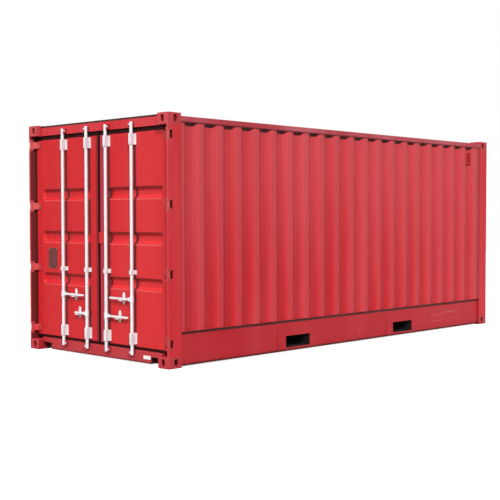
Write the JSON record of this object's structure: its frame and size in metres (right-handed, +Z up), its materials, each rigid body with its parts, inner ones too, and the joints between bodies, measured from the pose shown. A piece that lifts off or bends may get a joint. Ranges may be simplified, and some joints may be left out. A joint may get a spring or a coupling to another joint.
{
  "type": "twenty-foot shipping container with two end doors",
  "caption": "Steel freight container with corrugated walls, corner castings, fork pockets and hinged end doors held shut by turning locking bars with folding handles.",
  "frame": {"origin": "on the ground under the middle of the container", "axes": "+X along the length away from the doors, +Y across towards the left-hand door, +Z up"},
  "size_m": [6.058, 2.438, 2.591],
  "materials": {
    "red_paint": "weathered gloss paint",
    "door_paint": "weathered gloss paint",
    "casting_paint": "worn paint over cast steel",
    "underside_coating": "matt black coating",
    "plywood": "worn varnish",
    "gasket_rubber": "matt",
    "galvanised_steel": "galvanised",
    "plate_metal": "dark enamel",
    "tag_metal": "matt"
  },
  "bodies": {
    "frame": {"bottom_corner_castings": "casting_paint", "top_corner_castings": "casting_paint", "door_header": "red_paint", "door_sill": "red_paint", "front_top_rail": "red_paint", "front_bottom_rail": "red_paint", "front_wall": "red_paint", "roof": "red_paint", "floor": "plywood", "cross_members": "underside_coating", "fork_tunnel_sides": "underside_coating", "fork_tunnel_covers": "underside_coating", "hinge_pins": "red_paint", "cam_keepers": "red_paint", "ventilators": "red_paint", "sill_tag": "tag_metal", "left_rear_post": "red_paint", "left_front_post": "red_paint", "left_top_rail": "red_paint", "left_bottom_rail": "red_paint", "left_wall": "red_paint", "right_rear_post": "red_paint", "right_front_post": "red_paint", "right_top_rail": "red_paint", "right_bottom_rail": "red_paint", "right_wall": "red_paint"},
    "left_door": {"left_door_frame": "door_paint", "left_door_panel": "door_paint", "left_door_gasket": "gasket_rubber", "left_door_hinges": "door_paint", "left_bar_brackets": "galvanised_steel", "left_handle_catches": "galvanised_steel", "data_plate": "plate_metal"},
    "right_door": {"right_door_frame": "door_paint", "right_door_panel": "door_paint", "right_door_gasket": "gasket_rubber", "right_door_hinges": "door_paint", "right_bar_brackets": "galvanised_steel", "right_handle_catches": "galvanised_steel", "closing_tab": "door_paint"},
    "left_outer_lock": {"left_outer_bar": "galvanised_steel"},
    "left_outer_grip": {"left_outer_handle": "galvanised_steel"},
    "left_inner_lock": {"left_inner_bar": "galvanised_steel"},
    "left_inner_grip": {"left_inner_handle": "galvanised_steel"},
    "right_inner_lock": {"right_inner_bar": "galvanised_steel"},
    "right_inner_grip": {"right_inner_handle": "galvanised_steel"},
    "right_outer_lock": {"right_outer_bar": "galvanised_steel"},
    "right_outer_grip": {"right_outer_handle": "galvanised_steel"}
  },
  "joints": [
    {"name": "left_door_swing", "type": "hinge", "parent": "frame", "child": "left_door", "pos_m": [-3.011, 1.201, 1.3], "axis": [0, 0, -1], "range_deg": [0, 265]},
    {"name": "right_door_swing", "type": "hinge", "parent": "frame", "child": "right_door", "pos_m": [-3.011, -1.201, 1.3], "axis": [0, 0, 1], "range_deg": [0, 265]},
    {"name": "left_outer_bar_turn", "type": "hinge", "parent": "left_door", "child": "left_outer_lock", "pos_m": [-2.998, 0.605, 1.3], "axis": [0, 0, 1], "range_deg": [-110, 0]},
    {"name": "left_outer_handle_lift", "type": "hinge", "parent": "left_outer_lock", "child": "left_outer_grip", "pos_m": [-2.998, 0.565, 0.672], "axis": [1, 0, 0], "range_deg": [-20, 0]},
    {"name": "left_inner_bar_turn", "type": "hinge", "parent": "left_door", "child": "left_inner_lock", "pos_m": [-2.998, 0.17, 1.3], "axis": [0, 0, -1], "range_deg": [-110, 0]},
    {"name": "left_inner_handle_lift", "type": "hinge", "parent": "left_inner_lock", "child": "left_inner_grip", "pos_m": [-2.998, 0.21, 0.474], "axis": [-1, 0, 0], "range_deg": [-20, 0]},
    {"name": "right_inner_bar_turn", "type": "hinge", "parent": "right_door", "child": "right_inner_lock", "pos_m": [-2.998, -0.17, 1.3], "axis": [0, 0, 1], "range_deg": [-110, 0]},
    {"name": "right_inner_handle_lift", "type": "hinge", "parent": "right_inner_lock", "child": "right_inner_grip", "pos_m": [-2.998, -0.21, 0.474], "axis": [1, 0, 0], "range_deg": [-20, 0]},
    {"name": "right_outer_bar_turn", "type": "hinge", "parent": "right_door", "child": "right_outer_lock", "pos_m": [-2.998, -0.605, 1.3], "axis": [0, 0, -1], "range_deg": [-110, 0]},
    {"name": "right_outer_handle_lift", "type": "hinge", "parent": "right_outer_lock", "child": "right_outer_grip", "pos_m": [-2.998, -0.565, 0.672], "axis": [-1, 0, 0], "range_deg": [-20, 0]}
  ]
}
